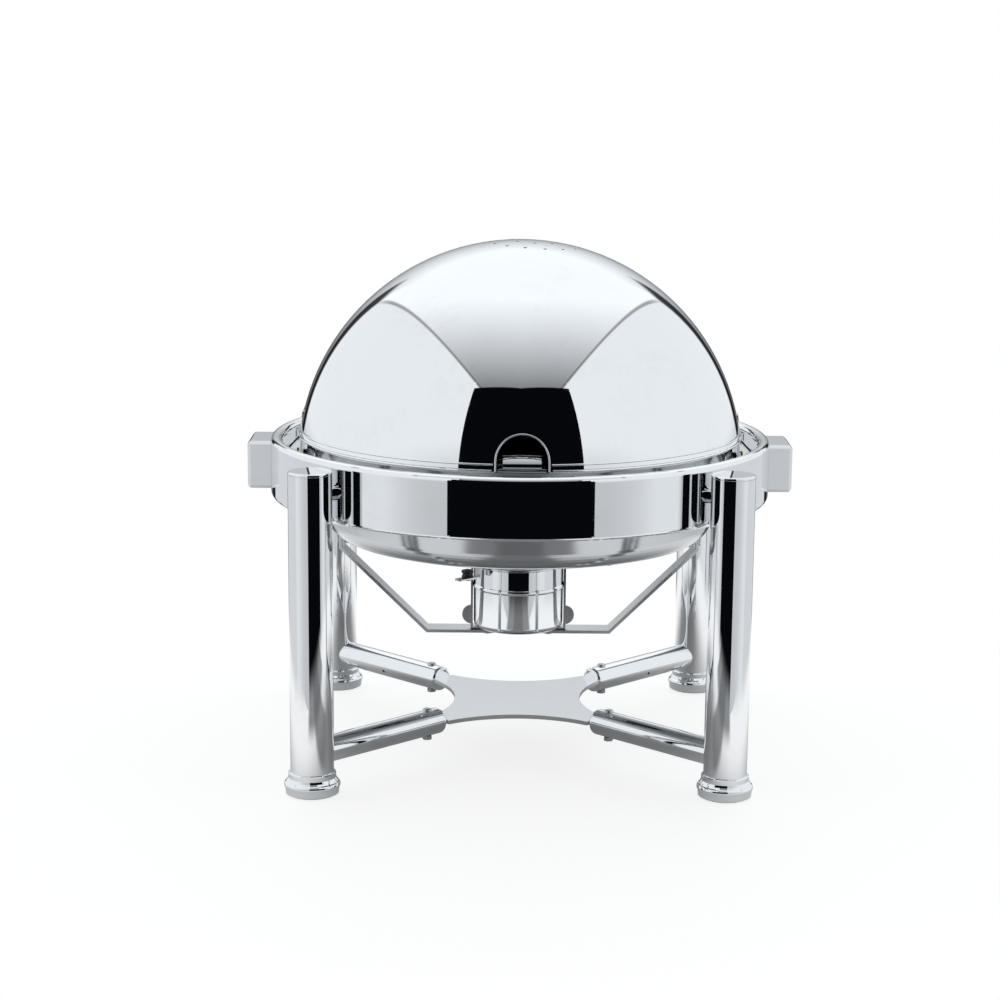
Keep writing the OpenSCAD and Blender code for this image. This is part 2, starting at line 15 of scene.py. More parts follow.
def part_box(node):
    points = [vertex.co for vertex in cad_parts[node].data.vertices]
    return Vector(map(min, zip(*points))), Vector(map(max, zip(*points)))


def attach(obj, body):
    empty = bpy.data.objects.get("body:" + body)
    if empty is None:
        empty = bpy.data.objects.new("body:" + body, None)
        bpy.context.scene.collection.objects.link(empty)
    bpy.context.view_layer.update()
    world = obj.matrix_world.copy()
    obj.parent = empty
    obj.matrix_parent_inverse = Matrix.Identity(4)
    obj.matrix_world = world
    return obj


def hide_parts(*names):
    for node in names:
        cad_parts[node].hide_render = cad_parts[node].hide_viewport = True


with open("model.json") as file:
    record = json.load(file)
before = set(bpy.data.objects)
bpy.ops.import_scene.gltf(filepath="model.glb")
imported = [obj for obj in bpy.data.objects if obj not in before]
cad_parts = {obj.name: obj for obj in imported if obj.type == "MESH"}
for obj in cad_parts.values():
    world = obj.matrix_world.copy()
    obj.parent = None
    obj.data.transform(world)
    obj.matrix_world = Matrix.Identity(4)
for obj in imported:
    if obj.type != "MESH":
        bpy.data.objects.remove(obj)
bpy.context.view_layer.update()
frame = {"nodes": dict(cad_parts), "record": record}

LOG = logging.getLogger("chafer")
CREASE = 50.0
MERGE = 1e-6

Socket = bpy.types.NodeSocket
Tree = bpy.types.NodeTree
Point = tuple[float, float]
Colour = tuple[float, float, float]
Profile = Sequence[Point]


class Wiring:
    """Adds nodes to one tree with short calls."""

    def __init__(self, tree: Tree) -> None:
        """Keeps the tree.

        Args:
            tree: The node tree that gets the nodes.
        """
        self.tree = tree

    def put(self, socket: Socket, value: object) -> None:
        """Links a socket to another one, or sets its own value.

        Args:
            socket: The input to feed.
            value: A socket to link from, or a plain value.
        """
        if isinstance(value, bpy.types.NodeSocket):
            self.tree.links.new(value, socket)
        else:
            socket.default_value = value

    def node(self, kind: str, inputs: dict | None = None, **settings: object) -> bpy.types.Node:
        """Makes a node.

        Args:
            kind: The node's type, without the ShaderNode at its start.
            inputs: Values or sockets by input name or number.
            **settings: Attributes of the node.

        Returns:
            The new node.
        """
        made = self.tree.nodes.new("ShaderNode" + kind)
        for name, value in settings.items():
            setattr(made, name, value)
        for name, value in (inputs or {}).items():
            self.put(made.inputs[name], value)
        return made

    def math(self, kind: str, *values: object, clamp: bool = False) -> Socket:
        """Makes a Math node and returns its output.

        Args:
            kind: The operation.
            *values: Up to three values or sockets.
            clamp: Whether the result is kept between 0 and 1.

        Returns:
            The output socket.
        """
        made = self.node("Math", dict(enumerate(values)), operation=kind, use_clamp=clamp)
        return made.outputs[0]

    def vector(self, kind: str, *values: object) -> bpy.types.Node:
        """Makes a Vector Math node with its inputs in order."""
        return self.node("VectorMath", dict(enumerate(values)), operation=kind)

    def smooth(self, value: Socket, low: float, high: float, start: float = 0.0,
               end: float = 1.0) -> Socket:
        """Blends smoothly from start at low to end at high.

        Args:
            value: The socket that drives the blend.
            low: Where the blend starts.
            high: Where it ends.
            start: The result at low.
            end: The result at high.

        Returns:
            The blended value.
        """
        made = self.node("MapRange", {"Value": value, "From Min": low, "From Max": high,
                                      "To Min": start, "To Max": end}, interpolation_type="SMOOTHSTEP")
        return made.outputs["Result"]

    def mix(self, factor: object, first: object, second: object) -> Socket:
        """Mixes two colours.

        Args:
            factor: How much of the second one is taken.
            first: The first colour.
            second: The second colour.

        Returns:
            The mixed colour.
        """
        made = self.node("Mix", data_type="RGBA", clamp_factor=True)
        self.put(made.inputs[0], factor)
        self.put(made.inputs[6], first)
        self.put(made.inputs[7], second)
        return made.outputs[2]

    def blend(self, factor: Socket, first: object, second: object) -> Socket:
        """Mixes two numbers.

        Args:
            factor: How much of the second one is taken.
            first: The first number.
            second: The second number.

        Returns:
            The mixed number.
        """
        return self.node("Mix", {0: factor, 2: first, 3: second}).outputs[0]

    def dim(self, level: Socket, mask: Socket, depth: float) -> Socket:
        """Darkens a level where a mask is set.

        Args:
            level: The level.
            mask: 1 where it is darkened, 0 where it stays.
            depth: The part of the level that the full mask takes away.

        Returns:
            The darkened level.
        """
        return self.math("MULTIPLY", level, self.math("SUBTRACT", 1.0, self.math("MULTIPLY", mask, depth)))

    def limit(self, value: Socket, low: float, high: float) -> Socket:
        """Keeps a value between two limits."""
        return self.math("MINIMUM", self.math("MAXIMUM", value, low), high)


def blank(name: str) -> tuple[bpy.types.Material, Wiring]:
    """Starts an empty material.

    Args:
        name: The material's name.

    Returns:
        The material and its wiring.
    """
    mat = bpy.data.materials.new(name)
    mat.use_nodes = True
    w = Wiring(mat.node_tree)
    w.tree.nodes.clear()
    return mat, w


def keep(bm: bmesh.types.BMesh, name: str) -> bpy.types.Object:
    """Turns a bmesh into an object at the origin and frees it.

    Args:
        bm: The finished shape, in place, in metres.
        name: The object's name.

    Returns:
        The new object.
    """
    mesh = bpy.data.meshes.new(name)
    bm.to_mesh(mesh)
    bm.free()
    made = bpy.data.objects.new(name, mesh)
    bpy.context.scene.collection.objects.link(made)
    return made


# ---------------------------------------------------------------- studio


@dataclass
class Studio:
    """White light tent with a dark gap at the front, a pale floor whose reflected glow holds painted shadow
    and shade, and the camera.

    Angles are in degrees. Azimuths count from the front, which faces -Y. A pair of numbers holds where a
    blend starts and where it ends.
    """

    backdrop: tuple[float, float, float, float] = (1.0, 1.0, 1.0, 1.0)
    panel_tint: Colour = (0.94, 0.97, 1.0)
    panel_glow: float = 0.97
    gap_tint: tuple[float, float, float, float] = (0.002, 0.0025, 0.0035, 1.0)
    gap_half_angle: float = 62.0
    gap_blur_angle: float = 0.6
    gap_slope: float = 1.075
    gap_rise: float = 0.145
    gap_edge: Point = (-0.006, 0.006)
    ceiling_normal: Colour = (0.818, 0.188, 0.544)
    ceiling_edge: Point = (-0.004, 0.004)
    ceiling_foot: float = 0.27
    ceiling_slope: float = 0.75
    ceiling_most: float = 1.15
    seam_width: Point = (0.003, 0.014)
    seam_height: Point = (0.25, 0.5)
    seam_depth: float = 0.60
    wall_azimuth: Point = (153.5, 156.0)
    wall_foot: float = 0.26
    wall_slope: float = 1.43
    wall_least: float = 0.16
    slit_start: Point = (152.5, 155.5)
    slit_end: Point = (162.5, 160.0)
    slit_top: Point = (0.38, 0.30)
    slit_depth: float = 0.93
    ground_height: Point = (-0.10, -0.02)
    ground_glow: float = 0.78
    card_inner: float = 0.233
    card_outer: float = 1.30
    card_y: float = -0.49
    card_top: float = 0.95
    card_drop: float = 0.40
    card_spread: float = 0.5
    card_glow: Point = (0.62, 0.86)
    card_fade: Point = (0.20, 0.48)
    card_cut: float = 0.75
    card_slant: float = 0.12
    card_edge: Point = (-0.005, 0.005)
    floor_radius: float = 0.72
    floor_drop: float = 0.0002
    floor_edge: Point = (0.75, 0.98)
    floor_grey: float = 0.25
    floor_glow: float = 0.80
    # Painted shadow: the floor's glow, as reflections see it, drops to this level under the object, over this
    # span of radius.
    floor_shadow_glow: float = 0.10
    floor_shadow_reach: Point = (0.16, 0.46)
    # Painted shade on the floor in a narrow lane in front of the object, as reflections see it.
    lane_half: Point = (0.08, 0.13)
    lane_end: Point = (-0.26, -0.18)
    lane_shade_depth: float = 0.80
    # Painted shade on the floor in a wider zone in front of the object, as reflections see it.
    front_half: Point = (0.22, 0.27)
    front_end: Point = (-0.46, -0.36)
    front_shade_depth: float = 0.85
    eye: tuple[float, float, float] = (-0.026, -2.305, 0.688)
    pitch: float = 12.23
    yaw: float = 0.19
    roll: float = 0.50
    lens: float = 86.5
    sensor: float = 36.0
    lift: float = 0.0514
    clip: Point = (0.05, 30.0)
    light_map: int = 1024

    def build(self) -> None:
        """Makes the camera, the light and the floor."""
        self.camera()
        self.world()
        for side in (-1, 1):
            self.card(side)
        self.floor()

    def camera(self) -> None:
        """Places the camera at the viewing position and aims it."""
        data = bpy.data.cameras.new("camera")
        data.lens, data.sensor_width, data.shift_y = self.lens, self.sensor, self.lift
        data.clip_start, data.clip_end = self.clip
        eye = bpy.data.objects.new("camera", data)
        bpy.context.scene.collection.objects.link(eye)
        turn = (Matrix.Rotation(-math.radians(self.yaw), 4, "Z")
                @ Matrix.Rotation(math.radians(90 - self.pitch), 4, "X")
                @ Matrix.Rotation(math.radians(self.roll), 4, "Z"))
        eye.matrix_world = Matrix.Translation(self.eye) @ turn
        bpy.context.scene.camera = eye
        bpy.context.scene.view_settings.view_transform = "Standard"

    def world(self) -> None:
        """Makes the light tent, which reflections see, around a plain white backdrop."""
        world = bpy.data.worlds.new("studio")
        world.use_nodes = True
        bpy.context.scene.world = world
        w = Wiring(world.node_tree)
        w.tree.nodes.clear()
        x, y, z = w.node("SeparateXYZ", {0: w.node("TexCoord").outputs["Generated"]}).outputs
        ahead = w.math("MULTIPLY", y, -1.0)
        side = w.math("ABSOLUTE", x)
        azimuth = w.math("MULTIPLY", w.math("ARCTAN2", side, ahead), 180 / math.pi)
        edge = w.math("ADD", w.math("MULTIPLY", ahead, self.gap_slope),
                      w.math("MULTIPLY", side, self.gap_rise))
        over = w.math("SUBTRACT", z, edge)
        across = w.smooth(azimuth, self.gap_half_angle - self.gap_blur_angle,
                          self.gap_half_angle + self.gap_blur_angle, 1.0, 0.0)
        gap = w.math("MULTIPLY", across, w.smooth(over, *self.gap_edge, 1.0, 0.0))
        level = self.ceiling(w, side, y, z, over)
        level = self.rear(w, level, azimuth, z)
        level = w.math("MULTIPLY", level, w.smooth(z, *self.ground_height, self.ground_glow, 1.0))
        shade = w.vector("SCALE", self.panel_tint)
        w.put(shade.inputs["Scale"], level)
        tent = w.node("Background", {"Color": w.mix(gap, shade.outputs[0], self.gap_tint), "Strength": 1.0})
        plain = w.node("Background", {"Color": self.backdrop, "Strength": 1.0})
        seen = w.node("LightPath").outputs["Is Camera Ray"]
        both = w.node("MixShader", {0: seen, 1: tent.outputs[0], 2: plain.outputs[0]})
        w.put(w.node("OutputWorld").inputs["Surface"], both.outputs[0])
        world.cycles.sampling_method = "MANUAL"
        world.cycles.sample_map_resolution = self.light_map

    def ceiling(self, w: Wiring, side: Socket, y: Socket, z: Socket, over: Socket) -> Socket:
        """Lights the ceiling panel, which brightens away from the gap, and the seams at its sides.

        Args:
            w: The world's wiring.
            side: Distance of the direction from the middle plane.
            y: Its part to the rear.
            z: Its part upwards.
            over: How far it is above the gap.

        Returns:
            The light's level, side panels included.
        """
        nx, ny, nz = self.ceiling_normal
        inside = w.math("SUBTRACT", w.math("ADD", w.math("MULTIPLY", z, nz), w.math("MULTIPLY", y, ny)),
                        w.math("MULTIPLY", side, nx))
        fade = w.math("ADD", w.math("MULTIPLY", over, self.ceiling_slope), self.ceiling_foot)
        fade = w.limit(fade, self.ceiling_foot, self.ceiling_most)
        seam = w.math("MULTIPLY", w.smooth(w.math("ABSOLUTE", inside), *self.seam_width, 1.0, 0.0),
                      w.smooth(z, *self.seam_height))
        level = w.blend(w.smooth(inside, *self.ceiling_edge), self.panel_glow, fade)
        return w.dim(level, seam, self.seam_depth)

    def rear(self, w: Wiring, level: Socket, azimuth: Socket, z: Socket) -> Socket:
        """Darkens the rear wall towards the floor, with a dark slit at each of its sides.

        Args:
            w: The world's wiring.
            level: The light's level.
            azimuth: Angle of the direction from the front.
            z: Its part upwards.

        Returns:
            The level with the rear wall in it.
        """
        wall = w.math("ADD", w.math("MULTIPLY", z, self.wall_slope), self.wall_foot)
        wall = w.limit(wall, self.wall_least, 1.0)
        level = w.math("MULTIPLY", level, w.blend(w.smooth(azimuth, *self.wall_azimuth), 1.0, wall))
        slit = w.math("MULTIPLY", w.smooth(azimuth, *self.slit_start), w.smooth(azimuth, *self.slit_end))
        slit = w.math("MULTIPLY", slit, w.smooth(z, *self.slit_top))
        return w.dim(level, slit, self.slit_depth)

    def card(self, side: int) -> None:
        """Makes one of the two white cards at the front, which only reflections see.

        Args:
            side: -1 for the left one, 1 for the right one.
        """
        bm = bmesh.new()
        middle = (self.card_inner + self.card_outer) / 2
        bmesh.ops.create_grid(bm, x_segments=1, y_segments=1, size=0.5, matrix=(
            Matrix.Translation((side * middle, self.card_y, (self.card_top - self.card_drop) / 2))
            @ Matrix.Rotation(math.radians(90), 4, "X")
            @ Matrix.Diagonal((self.card_outer - self.card_inner, self.card_top + self.card_drop, 1, 1))))
        card = keep(bm, f"card_{side}")
        mat, w = blank("card")
        x, _, z = w.node("SeparateXYZ", {0: w.node("TexCoord").outputs["Object"]}).outputs
        reach = w.math("ABSOLUTE", x)
        low = w.smooth(reach, self.card_inner, self.card_inner + self.card_spread, *self.card_glow)
        level = w.blend(w.smooth(z, *self.card_fade), low, self.panel_glow)
        glow = w.node("Emission", {"Color": (*self.panel_tint, 1.0)})
        w.put(glow.inputs["Strength"], level)
        over = w.math("SUBTRACT", z, w.math("ADD", w.math("MULTIPLY", reach, self.card_slant), self.card_cut))
        clear = w.node("BsdfTransparent")
        both = w.node("MixShader", {0: w.smooth(over, *self.card_edge), 1: glow.outputs[0],
                                    2: clear.outputs[0]})
        w.put(w.node("OutputMaterial").inputs["Surface"], both.outputs[0])
        card.data.materials.append(mat)
        card.visible_camera = card.visible_diffuse = card.visible_shadow = False

    def floor(self) -> None:
        """Makes a pale glowing disc that fades into the backdrop; reflections see its glow with a painted
        shadow under the object and painted shade in front of it.
        """
        bm = bmesh.new()
        bmesh.ops.create_circle(bm, cap_ends=True, radius=self.floor_radius, segments=128,
                                matrix=Matrix.Translation((0, 0, -self.floor_drop)))
        disc = keep(bm, "floor")
        mat, w = blank("floor")
        where = w.node("TexCoord").outputs["Object"]
        x, y, _ = w.node("SeparateXYZ", {0: where}).outputs
        reach = w.vector("LENGTH", where).outputs["Value"]
        side = w.math("ABSOLUTE", x)
        fade_in, fade_out = self.floor_edge
        alpha = w.smooth(reach, self.floor_radius * fade_in, self.floor_radius * fade_out, 1.0, 0.0)
        # Painted shade in a narrow lane and a wider zone in front of the object, seen only by reflections.
        lane = w.math("MULTIPLY", w.smooth(side, *self.lane_half, 1.0, 0.0),
                      w.smooth(y, *self.lane_end, 1.0, 0.0))
        front = w.math("MULTIPLY", w.smooth(side, *self.front_half, 1.0, 0.0),
                       w.smooth(y, *self.front_end, 1.0, 0.0))
        # Painted shadow: the glow that reflections see is lowered under the object; the camera sees the even
        # glow.
        glow = w.smooth(reach, *self.floor_shadow_reach, self.floor_shadow_glow, self.floor_glow)
        glow = w.dim(w.dim(glow, lane, self.lane_shade_depth), front, self.front_shade_depth)
        glow = w.blend(w.node("LightPath").outputs["Is Camera Ray"], glow, self.floor_glow)
        soft = w.node("BsdfPrincipled", {"Base Color": (*(self.floor_grey,) * 3, 1), "Roughness": 0.6,
                                         "Specular IOR Level": 0.1, "Emission Color": (1, 1, 1, 1),
                                         "Emission Strength": glow})
        w.put(soft.inputs["Alpha"], alpha)
        w.put(w.node("OutputMaterial").inputs["Surface"], soft.outputs[0])
        disc.data.materials.append(mat)


# ---------------------------------------------------------------- finishes


class Group(Enum):
    """The shared effects, each one node group."""

    SMUDGES = "smudges"
    HAIRLINES = "hairlines"
    TURNED_GRAIN = "turned_grain"
    LINEAR_GRAIN = "linear_grain"


def new_group(kind: Group, inputs: dict[str, float],
              outputs: Sequence[str]) -> tuple[Tree, Wiring, dict, bpy.types.Node]:
    """Starts a shader node group.

    Args:
        kind: Which effect it holds.
        inputs: Its number inputs and their first values.
        outputs: The names of its value outputs.

    Returns:
        The group, its wiring, its input sockets by name and its output node.
    """
    tree = bpy.data.node_groups.new(kind.value, "ShaderNodeTree")
    tree.interface.new_socket("Vector", in_out="INPUT", socket_type="NodeSocketVector")
    for name, value in inputs.items():
        tree.interface.new_socket(name, in_out="INPUT", socket_type="NodeSocketFloat").default_value = value
    for name in outputs:
        tree.interface.new_socket(name, in_out="OUTPUT", socket_type="NodeSocketFloat")
    w = Wiring(tree)
    given = tree.nodes.new("NodeGroupInput").outputs
    return tree, w, given, tree.nodes.new("NodeGroupOutput")


class Effects:
    """Builds the shared effects once."""

    def __init__(self) -> None:
        """Builds every group."""
        self.groups: dict[Group, Tree] = {}
        self.smudges()
        self.hairlines()
        self.turned_grain()
        self.linear_grain()

    def smudges(self) -> None:
        """Faint cloudy wipe marks, 0 on clean metal and 1 in the thickest film."""
        tree, w, given, out = new_group(Group.SMUDGES, {"Size": 0.05}, ["Mask"])
        scale = w.math("DIVIDE", 1.0, given["Size"])
        wide = w.node("TexNoise", {"Vector": given["Vector"], "Scale": scale, "Detail": 3.0,
                                   "Roughness": 0.55})
        fine = w.node("TexNoise", {"Vector": given["Vector"], "Scale": w.math("MULTIPLY", scale, 5.3),
                                   "Detail": 2.0, "Distortion": 0.6})
        both = w.math("MULTIPLY", w.smooth(wide.outputs[0], 0.42, 0.72),
                      w.smooth(fine.outputs[0], 0.30, 0.75))
        w.put(out.inputs["Mask"], both)
        self.groups[Group.SMUDGES] = tree

    def hairlines(self) -> None:
        """Fine wiping scratches in three directions, 1 on a line."""
        tree, w, given, out = new_group(Group.HAIRLINES, {"Length": 0.03}, ["Mask"])
        total = 0.0
        scale = w.math("DIVIDE", 1.0, given["Length"])
        for turn in ((0.3, 0.9, 0.2), (1.4, 0.2, 1.1), (0.8, 1.9, 2.6)):
            bent = w.node("Mapping", {"Vector": given["Vector"], "Rotation": turn,
                                      "Scale": (1.0, 60.0, 60.0)})
            lines = w.node("TexNoise", {"Vector": bent.outputs[0], "Scale": scale, "Detail": 1.0})
            total = w.math("ADD", total, w.smooth(lines.outputs[0], 0.72, 0.80))
        w.put(out.inputs["Mask"], w.math("MINIMUM", total, 1.0))
        self.groups[Group.HAIRLINES] = tree

    def turned_grain(self) -> None:
        """Grain that runs round the Z axis, as lathe polishing leaves it."""
        tree, w, given, out = new_group(Group.TURNED_GRAIN, {"Pitch": 0.0006}, ["Height"])
        axis = w.node("SeparateXYZ", {0: given["Vector"]}).outputs
        reach = w.math("SQRT", w.math("ADD", w.math("POWER", axis[0], 2.0), w.math("POWER", axis[1], 2.0)))
        angle = w.math("ARCTAN2", axis[1], axis[0])
        rings = w.node("CombineXYZ", {0: w.math("DIVIDE", reach, given["Pitch"]),
                                      1: w.math("DIVIDE", axis[2], given["Pitch"]),
                                      2: w.math("MULTIPLY", angle, 1.6)})
        grain = w.node("TexNoise", {"Vector": rings.outputs[0], "Scale": 1.0, "Detail": 3.0,
                                    "Roughness": 0.6})
        w.put(out.inputs["Height"], grain.outputs[0])
        self.groups[Group.TURNED_GRAIN] = tree

    def linear_grain(self) -> None:
        """Grain that runs along X, as a belt leaves it."""
        tree, w, given, out = new_group(Group.LINEAR_GRAIN, {"Pitch": 0.0005}, ["Height"])
        scaled = w.node("Mapping", {"Vector": given["Vector"], "Scale": (0.03, 1.0, 1.0)})
        fine = w.math("DIVIDE", 1.0, given["Pitch"])
        grain = w.node("TexNoise", {"Vector": scaled.outputs[0], "Scale": fine, "Detail": 3.0,
                                    "Roughness": 0.6})
        w.put(out.inputs["Height"], grain.outputs[0])
        self.groups[Group.LINEAR_GRAIN] = tree

    def use(self, w: Wiring, kind: Group, where: Socket, **values: float) -> Socket:
        """Places a group in a material.

        Args:
            w: The material's wiring.
            kind: The effect.
            where: The coordinates it reads.
            **values: Its number inputs.

        Returns:
            Its output.
        """
        node = w.node("Group", node_tree=self.groups[kind])
        w.put(node.inputs["Vector"], where)
        for name, value in values.items():
            node.inputs[name].default_value = value
        return node.outputs[0]


@dataclass(frozen=True)
class MetalFinish:
    """A metal: its colour, its gloss and the marks on it."""

    name: str
    colour: Colour
    roughness: float
    grain: Group | None = None
    grain_depth: float = 0.0
    smudge_gloss: float = 0.05
    smudge_size: float = 0.06
    line_gloss: float = 0.08
    line_length: float = 0.03
    stain: float = 0.02

    def make(self, effects: Effects) -> bpy.types.Material:
        """Builds the material.

        Args:
            effects: The shared node groups.

        Returns:
            The material.
        """
        mat, w = blank(self.name)
        where = w.node("TexCoord").outputs["Object"]
        smudge = effects.use(w, Group.SMUDGES, where, Size=self.smudge_size)
        lines = effects.use(w, Group.HAIRLINES, where, Length=self.line_length)
        rough = w.math("ADD", w.math("MULTIPLY", smudge, self.smudge_gloss),
                       w.math("MULTIPLY", lines, self.line_gloss))
        base = (*self.colour, 1.0)
        stained = tuple(c * (1 - self.stain * k) for c, k in zip(self.colour, (2.0, 2.4, 3.0))) + (1.0,)
        shader = w.node("BsdfPrincipled", {"Metallic": 1.0})
        w.put(shader.inputs["Base Color"], w.mix(smudge, base, stained))
        if self.grain is not None:
            grain = effects.use(w, self.grain, where)
            uneven = w.math("MULTIPLY", w.math("SUBTRACT", grain, 0.5), self.roughness * 0.7)
            rough = w.math("ADD", rough, uneven)
            bump = w.node("Bump", {"Strength": 0.6, "Distance": self.grain_depth, "Height": grain})
            w.put(shader.inputs["Normal"], bump.outputs[0])
        w.put(shader.inputs["Roughness"], w.math("ADD", rough, self.roughness, clamp=True))
        w.put(w.node("OutputMaterial").inputs["Surface"], shader.outputs[0])
        return mat


@dataclass(frozen=True)
class DullFinish:
    """A plastic, rubber or fibre: its colour, its gloss and its fine skin."""

    name: str
    colour: Colour
    roughness: float
    speck_size: float = 0.0008
    speck_depth: float = 0.00005
    fade: float = 0.25
    coat: float = 0.0

    def make(self, effects: Effects) -> bpy.types.Material:
        """Builds the material.

        Args:
            effects: The shared node groups.

        Returns:
            The material.
        """
        mat, w = blank(self.name)
        where = w.node("TexCoord").outputs["Object"]
        smudge = effects.use(w, Group.SMUDGES, where, Size=0.02)
        speck = w.node("TexNoise", {"Vector": where, "Scale": 1 / self.speck_size, "Detail": 2.0}).outputs[0]
        worn = tuple(c + (0.5 - c) * self.fade * 0.3 for c in self.colour) + (1.0,)
        shader = w.node("BsdfPrincipled", {"Coat Weight": self.coat, "Coat Roughness": 0.15})
        wear = w.math("MULTIPLY", smudge, speck)
        rough = w.math("ADD", w.math("MULTIPLY", smudge, 0.12), self.roughness, clamp=True)
        w.put(shader.inputs["Base Color"], w.mix(wear, (*self.colour, 1.0), worn))
        w.put(shader.inputs["Roughness"], rough)
        bump = w.node("Bump", {"Strength": 0.5, "Distance": self.speck_depth, "Height": speck})
        w.put(shader.inputs["Normal"], bump.outputs[0])
        w.put(w.node("OutputMaterial").inputs["Surface"], shader.outputs[0])
        return mat


class Finish(Enum):
    """The finishes, each under the record's slot of the same name."""

    POLISHED = MetalFinish("polished_steel", (0.86, 0.875, 0.89), 0.018, smudge_gloss=0.03, line_gloss=0.05)
    SATIN = MetalFinish("satin_steel", (0.74, 0.755, 0.77), 0.20, Group.LINEAR_GRAIN, 0.00002,
                        smudge_gloss=0.08)
    PAN = MetalFinish("pan_steel", (0.57, 0.585, 0.60), 0.12, Group.TURNED_GRAIN, 0.00001, smudge_gloss=0.06)
    FASTENER = MetalFinish("fastener_steel", (0.55, 0.56, 0.58), 0.26, smudge_gloss=0.10)
    BRONZE = MetalFinish("bush_bronze", (0.72, 0.47, 0.20), 0.30, Group.TURNED_GRAIN, 0.00002, stain=0.08)
    FIBRE = DullFinish("friction_fibre", (0.10, 0.075, 0.055), 0.85, 0.0006, 0.0002, 0.5)
    PLASTIC = DullFinish("knob_plastic", (0.012, 0.012, 0.013), 0.32, 0.0006, 0.00003, 0.15, 0.25)
    RUBBER = DullFinish("foot_rubber", (0.020, 0.020, 0.021), 0.75, 0.0009, 0.0001, 0.4)


class Shop:
    """Holds the made finishes and puts them on pieces."""

    def __init__(self) -> None:
        """Makes every finish."""
        effects = Effects()
        self.made = {f: f.value.make(effects) for f in Finish}
        self.by_slot = {f.value.name: self.made[f] for f in Finish}

    def dress_frame(self) -> None:
        """Gives each CAD node the finish of its slot."""
        for node in frame["nodes"].values():
            for slot in node.material_slots:
                key = slot.material.name.split(".")[0]
                if key in self.by_slot:
                    slot.material = self.by_slot[key]


def slot_of(node: str) -> str:
    """Finds the record's material slot of a CAD node.

    Args:
        node: The node's name.

    Returns:
        The slot's name.
    """
    return next(p["material_slot"] for p in frame["record"]["subparts"] if p["node"] == node)


def arc(centre: Point, radius: float, start: float, end: float, steps: int = 6) -> list[Point]:
    """Lists points along an arc in the radius and height plane.

    Args:
        centre: Its middle, as radius and height.
        radius: Its radius.
        start: First angle in degrees.
        end: Last angle in degrees.
        steps: How many parts it has.

    Returns:
        The points.
    """
    turns = [math.radians(start + (end - start) * i / steps) for i in range(steps + 1)]
    return [(centre[0] + radius * math.cos(t), centre[1] + radius * math.sin(t)) for t in turns]


def spun(profile: Profile, axis_at: Point = (0.0, 0.0), steps: int = 96) -> bmesh.types.BMesh:
    """Spins a profile fully round an upright axis.

    Args:
        profile: Points as radius and height, starting and ending on the axis for a closed shape.
        axis_at: Where the axis stands.
        steps: How many parts the turn has.

    Returns:
        The spun shape, with its normals outwards.
    """
    bm = bmesh.new()
    x, y = axis_at
    points = [bm.verts.new((x + r, y, z)) for r, z in profile]
    edges = [bm.edges.new(pair) for pair in zip(points, points[1:])]
    bmesh.ops.spin(bm, geom=points + edges, cent=(x, y, 0), axis=(0, 0, 1), angle=2 * math.pi,
                   steps=steps, use_merge=True)
    bmesh.ops.remove_doubles(bm, verts=bm.verts, dist=MERGE)
    bmesh.ops.recalc_face_normals(bm, faces=bm.faces)
    return bm


@dataclass
class Assembly:
    """A group of pieces that ride on the frame's bodies, dressed by one shop."""

    shop: Shop

    def dress(self, piece: bpy.types.Object, body: str, *nodes: str, like: str = "") -> bpy.types.Object:
        """Shades a piece, gives it its finish and lets it ride on its body.

        Args:
            piece: The finished piece.
            body: The body that it moves with.
            *nodes: The CAD nodes that it stands for.
            like: The CAD node whose slot it takes, if not the first that it stands for.

        Returns:
            The piece.
        """
        piece.data.shade_smooth()
        piece.data.set_sharp_from_angle(angle=math.radians(CREASE))
        even = piece.modifiers.new("even", "WEIGHTED_NORMAL")
        even.weight, even.keep_sharp = 100, True
        slot = slot_of(like or nodes[0])
        piece.data.materials.clear()
        piece.data.materials.append(self.shop.by_slot[slot])
        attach(piece, body)
        if nodes:
            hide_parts(*nodes)
        LOG.info("%s: %d faces on %s", piece.name, len(piece.data.polygons), body)
        return piece

    def soften(self, node: str, body: str, radius: float, sharp: float = 40.0, segments: int = 3,
               like: str = "") -> bpy.types.Object:
        """Rounds the sharp edges of a flat cut part, as tumbling leaves them.

        Args:
            node: The CAD node that is copied and replaced.
            body: The body that it moves with.
            radius: How wide the rounding is.
            sharp: Edges sharper than this many degrees are rounded.
            segments: Faces across each rounding.
            like: The CAD node whose slot it takes, if not its own.

        Returns:
            The new piece.
        """
        bm = bmesh.new()
        bm.from_mesh(frame["nodes"][node].data)
        bmesh.ops.remove_doubles(bm, verts=bm.verts, dist=2 * MERGE)
        bmesh.ops.dissolve_limit(bm, angle_limit=math.radians(0.3), verts=bm.verts, edges=bm.edges)
        crisp = [e for e in bm.edges if e.is_manifold and e.calc_face_angle(0.0) > math.radians(sharp)]
        bmesh.ops.bevel(bm, geom=crisp, offset=radius, offset_type="OFFSET", affect="EDGES",
                        segments=segments, profile=0.5, material=-1, clamp_overlap=True)
        bmesh.ops.recalc_face_normals(bm, faces=bm.faces)
        return self.dress(keep(bm, node + "_soft"), body, node, like=like)


@dataclass
class Stand(Assembly):
    """The flat cut and capped parts of the stand and the roll hinge."""

    plate_edge: float = 0.0011
    block_edge: float = 0.0007
    cap_edge: float = 0.0005

    def build(self) -> None:
        """Makes every piece of the stand that is finer than its CAD node."""
        self.soften("hub_plate", "stand", self.plate_edge)
        for side in ("left", "right"):
            self.soften(f"hinge_block_{side}", "stand", self.block_edge, sharp=25.0)
        self.soften("leg_caps", "stand", self.cap_edge)


